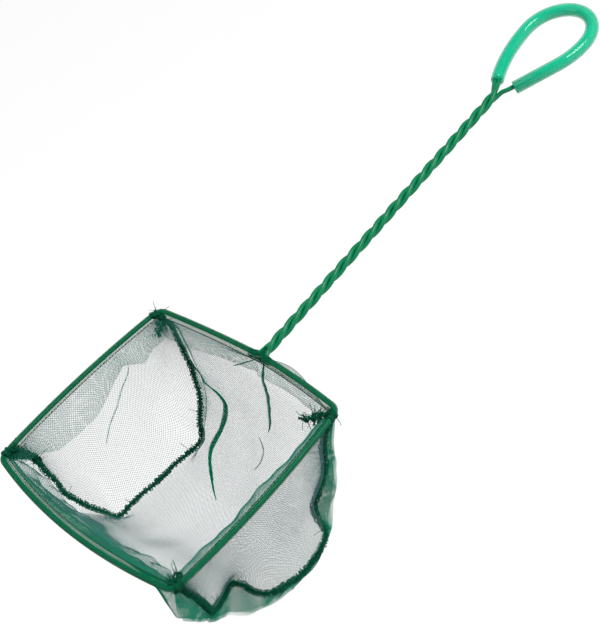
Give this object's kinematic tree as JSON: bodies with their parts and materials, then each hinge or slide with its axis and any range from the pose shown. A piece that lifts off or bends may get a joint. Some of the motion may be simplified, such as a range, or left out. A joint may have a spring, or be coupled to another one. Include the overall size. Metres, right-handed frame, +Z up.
{
  "type": "aquarium fish net",
  "caption": "Small hand net for an aquarium: coated-wire hoop, twisted wire handle with a finger loop in a clear sleeve, and a sewn bag of fine net.",
  "frame": {"origin": "on the handle's axis, in the middle of the finger loop", "axes": "+Y from the grip towards the hoop, +Z up out of the bag's mouth and square to the hoop, +X to the user's right"},
  "size_m": [0.1588, 0.3896, 0.0957],
  "materials": {
    "wire_coating": "smooth glossy green vinyl coating",
    "wire_core": "drawn steel wire",
    "sleeve": "clear mint vinyl tube",
    "net": "fine knitted mesh, green thread",
    "hem": "mesh folded double and stitched",
    "thread": "dark green overlock and sewing thread"
  },
  "bodies": {
    "root": {"hoop_coating": "wire_coating", "hoop_core": "wire_core", "strand_right": "wire_coating", "strand_left": "wire_coating", "strand_return": "wire_coating", "strand_cores": "wire_core", "loop_coating": "wire_coating", "loop_core": "wire_core", "grip_tube": "sleeve", "main_panel": "net", "gusset_right": "net", "gusset_left": "net", "casing_right": "hem", "casing_far": "hem", "casing_left": "hem", "casing_neck_left": "hem", "casing_neck_right": "hem", "hem_stitching": "thread", "seam_right": "thread", "seam_left": "thread", "tie_neck_right": "thread", "tie_far_right": "thread", "tie_far_left": "thread", "tie_neck_left": "thread"}
  },
  "joints": []
}
